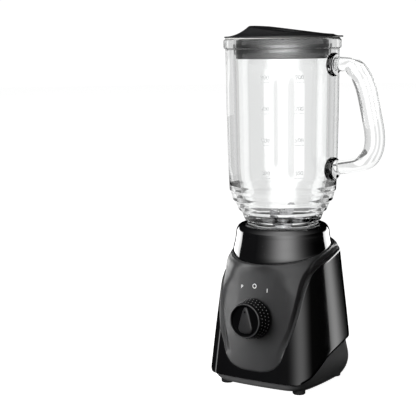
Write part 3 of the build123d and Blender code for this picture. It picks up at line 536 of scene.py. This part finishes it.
half_outline = [(0.0, 13.4), (1.7, 12.5), (3.0, 9.8), (4.5, 5.4), (6.0, 0.2), (7.3, -4.4), (7.85, -7.6), (7.2, -10.4), (4.6, -12.4), (0.0, -13.2)]
t_in = np.linspace(0, 1, len(half_outline))
ux = pchip(list(zip(t_in, [p[0] for p in half_outline])))
vx = pchip(list(zip(t_in, [p[1] for p in half_outline])))
tt = np.linspace(0, 1, 40)
right_u, right_v = ux(tt), vx(tt)
ol_u = np.concatenate([right_u, -right_u[-2:0:-1]])
ol_v = np.concatenate([right_v, right_v[-2:0:-1]])
centre_v = -2.2
levels = [(1.0, 15.6), (1.0, 16.6), (0.985, 17.0), (0.95, 17.35), (0.90, 17.7), (0.84, 17.95), (0.78, 18.1), (0.6, 18.32), (0.4, 18.5), (0.2, 18.62), (0.02, 18.66)]
tear = np.stack([knob_pt(ol_u * s, centre_v + (ol_v - centre_v) * s, np.full(ol_u.shape, d)) for s, d in levels])
pointer = grid_object("knob_pointer_drop", tear, caps=True, sharp=50)
outward(pointer)
piece(pointer, "knob", "pointer_grey", POINTER, "knob_pointer")
b = np.linspace(0, 2 * PI, 28, endpoint=False)
dimple = np.stack([knob_pt(rr * np.cos(b), 8.7 + rr * np.sin(b), np.full(28, d)) for rr, d in ((0.95, 18.1), (0.95, 18.46), (0.72, 18.52), (0.3, 18.40), (0.02, 18.36))])
dimple = grid_object("knob_index_dot", dimple, caps=True)
outward(dimple)
piece(dimple, "knob", "knob_black", KNOBMAT)


# ---------------------------------------------------------------- printed marks on the apron
def apron_point(x, z, lift):
    x, z = np.broadcast_arrays(np.asarray(x, float), np.asarray(z, float))
    y = np.full(x.shape, -54.0)
    for _ in range(12):
        ph = np.arctan2(x, -y)
        r = base_r(ph, z) + 0.45 + lift
        y = -np.sqrt(np.maximum(r * r - x * x, 1.0))
    return np.stack([x, y, z], -1)


def band_mark(name, inner_line, outer_line):
    """A thin raised strip between two lines of (x, z)."""
    a, c = np.array(inner_line, float), np.array(outer_line, float)
    rows_ = [apron_point(a[:, 0], a[:, 1], -0.2), apron_point(a[:, 0], a[:, 1], 0.05), apron_point(a[:, 0] * 0.5 + c[:, 0] * 0.5, a[:, 1] * 0.5 + c[:, 1] * 0.5, 0.07),
             apron_point(c[:, 0], c[:, 1], 0.05), apron_point(c[:, 0], c[:, 1], -0.2)]
    return np.stack(rows_)


g = np.linspace(0, 2 * PI, 48, endpoint=False)
mark_o = grid_object("mark_o", band_mark("o", np.stack([-1.6 + 1.62 * np.cos(g), 105.9 + 1.66 * np.sin(g)], -1), np.stack([-1.6 + 2.3 * np.cos(g), 105.9 + 2.34 * np.sin(g)], -1)), wrap_rows=True)
tz = np.linspace(0, 1, 12)
mark_i = grid_object("mark_i", band_mark("i", np.stack([12.65 + 0 * tz, 101.0 + 3.7 * tz], -1), np.stack([13.3 + 0 * tz, 101.0 + 3.7 * tz], -1)), wrap_rows=True, wrap_cols=False, caps=False)
stem = grid_object("mark_p_stem", band_mark("p", np.stack([-17.3 + 0 * tz, 102.4 + 3.3 * tz], -1), np.stack([-16.65 + 0 * tz, 102.4 + 3.3 * tz], -1)), wrap_rows=True, wrap_cols=False)
h = np.linspace(-PI / 2, PI / 2, 24)
bowl_in = np.stack([-16.1 + 0.55 * np.cos(h), 104.75 + 0.45 * np.sin(h)], -1)
bowl_out = np.stack([-16.1 + 1.15 * np.cos(h), 104.75 + 1.0 * np.sin(h)], -1)
bowl_in = np.concatenate([[(-16.8, 104.3)], bowl_in, [(-16.8, 105.2)]])
bowl_out = np.concatenate([[(-16.8, 103.75)], bowl_out, [(-16.8, 105.75)]])
bowl = grid_object("mark_p_bowl", band_mark("p", bowl_in, bowl_out), wrap_rows=True, wrap_cols=False)
marks = joined("switch_marks", [mark_o, mark_i, stem, bowl])
outward(marks)
piece(marks, "base", "pointer_grey", PRINT)

# ---------------------------------------------------------------- glass jar
SEG = 256
theta = np.linspace(0, 2 * PI, SEG, endpoint=False)
outer_pts = [(31, 157.5), (31, 162.3), (36.0, 162.3), (36.5, 165.2), (38.9, 167.4), (41.2, 173.8), (44.6, 176.9), (47.6, 184.2), (50.6, 187.3),
             (52.6, 195.2), (54.0, 197.4), (54.4, 205), (54.7, 213), (55.4, 234), (56.3, 278), (56.8, 318), (57, 338), (58.9, 339.2), (58.9, 347), (57.9, 348)]
inner_pts = [(48.2, 348), (47.4, 347.2), (46.9, 320), (45.4, 218), (44.4, 206), (42.2, 194.5), (38.6, 183.5), (33.4, 174), (28.6, 167.6), (26.5, 164.6), (26.5, 157.5)]
o_rows = rounded(outer_pts, [0, .5, .8, .5, .6, .6, .6, .6, .6, .6, .7, 2, 2, 2, 2, 2, 0.5, 0.7, 0.8, 0], 5)
i_rows = rounded(inner_pts, [0, .6, 4, 6, 6, 5, 5, 4, 2, 1.5, 0], 6)


def densify(path, step):
    out = [path[0]]
    for a, c in zip(path[:-1], path[1:]):
        n = max(1, int(np.ceil(np.linalg.norm(c - a) / step)))
        out += [a + (c - a) * (j + 1) / n for j in range(n)]
    return np.array(out)


o_rows, i_rows = densify(o_rows, 7.0), densify(i_rows, 6.0)


def wrapped(a):
    return (a + PI) % (2 * PI) - PI


spout_w = np.exp(-(wrapped(theta - PI) / 0.235) ** 2)
rings = []
for R, Z in o_rows:
    grow = 8.5 * sstep(326, 345.5, Z) * spout_w
    rings.append(np.stack([(R + grow) * np.cos(theta), (R + grow) * np.sin(theta), np.full(SEG, Z)], -1))
for R, Z in i_rows:
    grow = 12.6 * sstep(333, 347, Z) * np.exp(-(wrapped(theta - PI) / 0.20) ** 2)
    rib = sum((0.25 if q == 2 else 1.0) * np.clip(1 - (wrapped(theta - (0.25 + 0.5 * q) * PI) * R / 11.0) ** 2, 0, 1) ** 3 for q in range(4))
    grow = grow - 0.8 * rib * sstep(206, 222, Z) * (1 - sstep(302, 320, Z))
    rings.append(np.stack([(R + grow) * np.cos(theta), (R + grow) * np.sin(theta), np.full(SEG, Z)], -1))
jar = grid_object("jar_shell", np.stack(rings), wrap_rows=True, sharp=0)
outward(jar)

path = rounded([(49.5, 323.6), (88.2, 322.4), (108.6, 230.0), (49.0, 219.6)], [0, 33, 36, 0], 18)
path = densify(path, 5.0)
tan = np.gradient(path, axis=0)
tan /= np.linalg.norm(tan, axis=1)[:, None]
nor = np.stack([-tan[:, 1], tan[:, 0]], -1)
a48 = np.linspace(0, 2 * PI, 48, endpoint=False)
tube = np.zeros((len(path), 48, 3))
grip = sstep(0.15, 0.75, np.abs(tan[:, 1]))
for i in range(len(path)):
    thick, wide_ = 7.0 + 2.2 * grip[i], 9.2 + 2.6 * grip[i]
    tube[i, :, 0] = path[i, 0] + thick * np.sin(a48) * nor[i, 0]
    tube[i, :, 2] = path[i, 1] + thick * np.sin(a48) * nor[i, 1]
    tube[i, :, 1] = wide_ * np.cos(a48)
handle = grid_object("handle_tube", tube, caps=True, sharp=0)
outward(handle)
pads = []
for zc, rr in ((322.6, 11.6), (220.4, 11.6)):
    prof = rounded([(rr * 0.9, 50.0), (rr, 50.0), (rr, 59.6), (rr - 1.6, 61.3), (rr * 0.55, 61.4)], [0, 0.5, 1.6, 1.4, 0], 5)
    ringp = np.stack([np.stack([np.full(64, X), R * np.cos(np.linspace(0, 2 * PI, 64, endpoint=False)), zc + R * np.sin(np.linspace(0, 2 * PI, 64, endpoint=False))], -1) for R, X in prof])
    pads.append(outward(grid_object("pad", ringp, caps=True, sharp=0)))
for tool in [handle] + pads:
    mod = jar.modifiers.new("join", "BOOLEAN")
    mod.operation, mod.solver, mod.object = "UNION", "EXACT", tool
bpy.context.view_layer.update()
glass = baked(jar, "jar_glass")
for o in [jar, handle] + pads:
    bpy.data.objects.remove(o)
glass.data.polygons.foreach_set("use_smooth", [True] * len(glass.data.polygons))
glass.data.set_sharp_from_angle(angle=math.radians(34))
piece(glass, "jar", "clear_glass", GLASS, "glass_jar", "glass_handle")

# raised graduations
def jar_r(z):
    return float(np.interp(z, [p[1] for p in outer_pts[11:17]], [p[0] for p in outer_pts[11:17]]))


relief = []
for label, zc in (("900", 311.0), ("700", 281.0), ("500", 250.5), ("300", 218.5)):
    for az in (13.0, 47.0):
        curve = bpy.data.curves.new("grad", "FONT")
        curve.body = label
        curve.size = 0.0058
        curve.align_x, curve.align_y = "CENTER", "CENTER"
        curve.extrude = 0.00025
        curve.bevel_depth = 0.00006
        o = link(bpy.data.objects.new("grad", curve))
        bpy.context.view_layer.update()
        me = bpy.data.meshes.new_from_object(o.evaluated_get(bpy.context.evaluated_depsgraph_get()))
        bpy.data.objects.remove(o)
        vs = np.array([v.co for v in me.vertices]) / MM
        fs = [tuple(p.vertices) for p in me.polygons]
        bar = [(-4.5, -4.6), (4.5, -4.6), (4.5, -4.0), (-4.5, -4.0)]
        base = len(vs)
        nb = 9
        extra = []
        for k in range(nb):
            u = -4.5 + 9.0 * k / (nb - 1)
            extra += [(u, -4.9, -0.25), (u, -4.9, 0.28), (u, -4.2, 0.28), (u, -4.2, -0.25)]
        for k in range(nb - 1):
            for q in range(4):
                a0, a1 = base + k * 4 + q, base + k * 4 + (q + 1) % 4
                fs.append((a0, a1, a1 + 4, a0 + 4))
        fs += [(base + 3, base + 2, base + 1, base), tuple(base + (nb - 1) * 4 + q for q in range(4))]
        vs = np.concatenate([vs, np.array(extra)])
        R = np.array([jar_r(zc + v) for v in vs[:, 1]]) + vs[:, 2] + 0.14
        A = math.radians(az) + vs[:, 0] / 56.0
        pos = np.stack([R * np.sin(A), -R * np.cos(A), zc + vs[:, 1]], -1) * MM
        relief.append(mesh_object("grad", pos, fs))
grads = joined("jar_graduations", relief)
outward(grads)
piece(grads, "jar", "clear_glass", RELIEF)

# ---------------------------------------------------------------- lid
LSEG = 192
lt = np.linspace(0, 2 * PI, LSEG, endpoint=False)


def ring_at(cx, R, z, slope=0.0, ref=0.0):
    x = cx + R * np.cos(lt)
    return np.stack([x, R * np.sin(lt), z + slope * (x - ref)], -1)


lid_rows = []
# hole wall for the filler cap, going down, then the tube and the underside
for z in (345.0, 339.0, 334.9):
    lid_rows.append(ring_at(9.0, 19.6, z))
for R, z in rounded([(19.7, 334.5), (21.9, 334.5), (22.0, 346.0)], 0.6, 4):
    lid_rows.append(ring_at(9.0, R, z))
for R, z in rounded([(28.0, 346.8), (43.3, 346.8), (43.6, 330.2), (43.9, 328.6), (46.2, 328.6), (46.5, 330.0), (46.5, 338.0), (46.5, 348.6), (47.4, 349.25), (58.9, 349.25),
                     (59.55, 349.6), (59.55, 350.4), (59.0, 350.75), (55.6, 350.8)], [0, 1, 1, .6, .6, .5, 1, .5, .5, .3, .3, .3, .3, .2], 4):
    f, g = np.clip((R - 28.0) / 14.0, 0, 1), np.clip((R - 48.0) / 9.0, 0, 1)
    lid_rows.append(ring_at(5.0 * (1 - f) + 1.4 * g, R - 0.3 * g, z))


def deck_z(x, y):
    return smax(357.50 - 0.125 * x - 0.05 * np.maximum(y - 20.0, 0.0), np.full(np.shape(x), 352.2), 2.0)


deck_edge = deck_z(10.0 + 42.0 * np.cos(lt), 42.0 * np.sin(lt))
for u in np.concatenate([np.linspace(0.02, 0.95, 24), [0.98, 1.0]]):
    c, R = 1.1 + 8.9 * u, 55.1 - 13.1 * u
    ring_ = ring_at(c, R, 0.0)
    ring_[:, 2] = 350.85 + (deck_edge - 350.85) * (0.30 * u + 0.70 * u ** 2.2) - 0.12 * (u > 0.99)
    lid_rows.append(ring_)
for R, f in ((41.3, 0.03), (40.0, 0.1), (36.0, 0.3), (30.0, 0.6), (22.0, 1.0), (20.4, 1.0)):
    ring_ = ring_at(10.0 - f, R, 0.0)
    ring_[:, 2] = deck_z(ring_[:, 0], ring_[:, 1])
    lid_rows.append(ring_)
for R, dz in ((19.8, -0.3), (19.6, -1.2)):
    ring_ = ring_at(9.0, R, 0.0)
    ring_[:, 2] = deck_z(ring_[:, 0], ring_[:, 1]) + dz
    lid_rows.append(ring_)
lid = grid_object("lid_shell", np.stack(lid_rows), wrap_rows=True, sharp=38)
outward(lid)
lid.data.set_sharp_from_angle(angle=math.radians(38))
piece(lid, "lid", "lid_black", LIDMAT, "lid")

# ---------------------------------------------------------------- finishes of the carried-over pieces
finish = {
    MATTE: [], PLINTH: ["bottom_plinth"], RUBBER: ["rubber_feet", "motor_dampers"], LIDMAT: ["filler_cap"],
    INNER: ["cord_gland", "upper_bracket", "lower_bracket", "cooling_fan", "drive_coupling", "driven_coupling", "blade_collar", "switch_body", "brush_holders", "bolt_sleeves"],
    GASKET: ["lid_seal", "jar_gasket", "shaft_seal"],
    STEEL: ["lower_blade", "upper_blade", "blade_seat", "blade_nut", "blade_spacer"],
    SHAFT: ["motor_shaft", "blade_shaft", "upper_bearing", "lower_bearing", "motor_bolts", "damper_screws", "plinth_screws", "switch_nut", "switch_spindle", "brush_springs"],
    LAMINATION: ["stator_core", "armature_core"],
    COPPER: ["field_coils", "armature_windings", "commutator"],
    BRONZE: ["shaft_bush"], CARBON: ["carbon_brushes"],
}
done = set()
for material, names in finish.items():
    for n in names:
        NODES[n].data.materials.clear()
        NODES[n].data.materials.append(material)
        done.add(n)
for n, o in NODES.items():
    if n not in done and not o.hide_render:
        o.data.materials.clear()
        o.data.materials.append(INNER)

# ---------------------------------------------------------------- camera
a, D, zc = math.radians(30.397), 1214.57, 344.80
C = Vector((D * math.sin(a), -D * math.cos(a), zc)) * MM
yaw, pitch, roll = math.radians(3.589), math.radians(7.811), math.radians(-0.632)
heading = math.atan2(-C.y, -C.x) + yaw
fwd = Vector((math.cos(heading) * math.cos(pitch), math.sin(heading) * math.cos(pitch), -math.sin(pitch)))
right = fwd.cross(Vector((0, 0, 1))).normalized()
up = right.cross(fwd)
rx = right * math.cos(roll) + up * math.sin(roll)
ux_ = up * math.cos(roll) - right * math.sin(roll)
cam_data = bpy.data.cameras.new("camera")
cam_data.sensor_width = 36.0
cam_data.lens = 1203.93 / 416 * 36.0
cam_data.clip_start, cam_data.clip_end = 0.05, 60
cam = link(bpy.data.objects.new("camera", cam_data))
M = Matrix.Identity(4)
for i in range(3):
    M[i][0], M[i][1], M[i][2], M[i][3] = rx[i], ux_[i], -fwd[i], C[i]
cam.matrix_world = M
bpy.context.scene.camera = cam

# ---------------------------------------------------------------- studio
scene = bpy.context.scene
scene.view_settings.view_transform = "Standard"
world = bpy.data.worlds.new("studio")
scene.world = world
world.use_nodes = True
world.node_tree.nodes["Background"].inputs["Color"].default_value = (1, 1, 1, 1)
world.node_tree.nodes["Background"].inputs["Strength"].default_value = 1.05
world.cycles_visibility.glossy = world.cycles_visibility.diffuse = False

floor_m, nt, bs = new_material("studio_floor")
nt.links.new(tinted(nt, noise(nt, 3, 3, seed=61.0), (0.49, 0.49, 0.49), (0.51, 0.51, 0.51)), bs.inputs["Base Color"])
bs.inputs["Roughness"].default_value = 0.9
bs.inputs["Specular IOR Level"].default_value = 0.0
bs.inputs["Emission Color"].default_value = (1, 1, 1, 1)
bs.inputs["Emission Strength"].default_value = 0.98
fa = np.linspace(0, 2 * PI, 96, endpoint=False)
floor = grid_object("floor", np.stack([np.stack([R * np.cos(fa), R * np.sin(fa), np.full(96, -0.2)], -1) for R in (1, 300, 1000, 4000, 9000)]), flip=False, caps=False, sharp=0)
floor.data.materials.append(floor_m)
floor.visible_glossy = floor.visible_diffuse = floor.visible_transmission = False

VIEW_AZ = math.atan2(C.y, C.x)


def panel(name, radius, deg0, deg1, z0, z1, power, glossy=True, transmission=False, nz=8, step=1.0):
    """A curved light card; deg is measured from the camera side, to the right in the picture. power(deg, z) is its glow."""
    degs = np.linspace(deg0, deg1, max(8, int(abs(deg1 - deg0) / step) + 1))
    zz = np.linspace(z0, z1, nz)
    P = np.zeros((nz, len(degs), 3))
    for i, z in enumerate(zz):
        az = VIEW_AZ + np.radians(degs)
        P[i] = np.stack([radius * np.cos(az), radius * np.sin(az), np.full(len(degs), z)], -1)
    o = grid_object(name, P, wrap_cols=False, sharp=0)
    glow = np.array([[power(d, z) for d in degs] for z in zz]).ravel()
    at = o.data.attributes.new("glow", "FLOAT", "POINT")
    at.data.foreach_set("value", glow.astype(np.float32))
    m = bpy.data.materials.new(name)
    m.use_nodes = True
    t = m.node_tree
    t.nodes.clear()
    out = t.nodes.new("ShaderNodeOutputMaterial")
    em = t.nodes.new("ShaderNodeEmission")
    at_n = t.nodes.new("ShaderNodeAttribute")
    at_n.attribute_name = "glow"
    t.links.new(at_n.outputs["Fac"], em.inputs["Strength"])
    t.links.new(em.outputs["Emission"], out.inputs["Surface"])
    o.data.materials.append(m)
    o.visible_camera = o.visible_diffuse = o.visible_shadow = o.visible_volume_scatter = False
    o.visible_glossy, o.visible_transmission = glossy, transmission
    return o


def bell(x, c, w):
    return math.exp(-((x - c) / w) ** 2)


def ease(e0, e1, x):
    return float(sstep(e0, e1, x))


def front_glow(d, z):
    low = 1.7 * bell(d, 25, 36)
    high = 4.5 * bell(d, 5, 30)
    top = 3.6 * bell(d, 0, 46)
    glow = low + (high - low) * ease(90, 180, z)
    return glow + (top - glow) * ease(270, 310, z)


def back_light(d, z):
    """White backdrop seen through the glass, with a paler grey drop on each side of the middle."""
    off = abs(abs(d) - 180)
    grey = ease(2.6, 4.6, off) * (1 - ease(10.5, 13.0, off))
    return 1.08 - 0.30 * grey


panel("card_front", 460, -112, 112, -60, 1300, front_glow, nz=56)
panel("card_lid", 455, -125, 125, 322, 520, lambda d, z: 0.15 + 6.4 * bell(d, 0, 34), glossy=False, transmission=True, nz=6, step=2.0)
sides = [panel("card_high_r", 470, 109, 149, 96, 240, lambda d, z: 6.0 * (1 - ease(195, 235, z)), nz=16),
         panel("card_high_l", 470, -109, -149, 96, 240, lambda d, z: 6.0 * (1 - ease(195, 235, z)), nz=16),
         panel("card_low_r", 470, 112.5, 132, -70, 92, lambda d, z: 1.75 * bell(d, 116, 4.5), nz=6)]
panel("card_back", 3000, 156, 204, -640, 480, back_light, glossy=False, transmission=True, step=0.4)
for side, name in ((1, "card_wing_r"), (-1, "card_wing_l")):
    panel(name, 3000, side * 154, side * 100, -1500, 1800, lambda d, z: 0.22 + 0.50 * ease(104, 138, abs(d)), glossy=False, transmission=True, step=2.0)
panel("card_skirt", 430, 120, 240, 6, 88, lambda d, z: 0.18, glossy=False, transmission=True, nz=4, step=2.0)
no_glass = bpy.data.collections.new("no_glass")
no_glass.objects.link(glass)
no_glass.collection_objects[0].light_linking.link_state = "EXCLUDE"
for o in sides:
    o.light_linking.receiver_collection = no_glass
only_glass = bpy.data.collections.new("only_glass")
only_glass.objects.link(glass)
card = panel("card_glass", 900, -30, -200, -1500, 2500, lambda d, z: 0.8, nz=6, step=2.0)
card.light_linking.receiver_collection = only_glass
only_panel = bpy.data.collections.new("only_panel")
only_panel.objects.link(apron)
strip = panel("card_strip_l", 445, -60, -88, -60, 250, lambda d, z: 26.0 * bell(d, -75, 3.6) * (1 - ease(190, 250, z)), nz=12)
strip.light_linking.receiver_collection = only_panel
only_housing = bpy.data.collections.new("only_housing")
only_housing.objects.link(housing)
low = panel("card_low_l", 445, -88.5, -98, -140, 92, lambda d, z: 3.2 * bell(d, -90, 4.5), nz=8)
low.light_linking.receiver_collection = only_housing

# soft overhead light for the matte surfaces, and a key from the left
dome = panel("card_dome", 5000, -180, 180, -300, 4200, lambda d, z: 0.21, glossy=False, step=8.0)
dome.visible_diffuse = True
key_data = bpy.data.lights.new("key", "AREA")
key_data.shape, key_data.size, key_data.size_y = "RECTANGLE", 0.7, 0.9
key_data.energy = 29.0
key = link(bpy.data.objects.new("key", key_data))
kaz, kel, kd = VIEW_AZ - math.radians(52), math.radians(24), 1.35
key.location = (kd * math.cos(kaz) * math.cos(kel), kd * math.sin(kaz) * math.cos(kel), 0.15 + kd * math.sin(kel))
key.rotation_euler = (Vector((0, 0, 0.15)) - key.location).to_track_quat("-Z", "Y").to_euler()
key.visible_glossy = key.visible_transmission = key.visible_camera = False
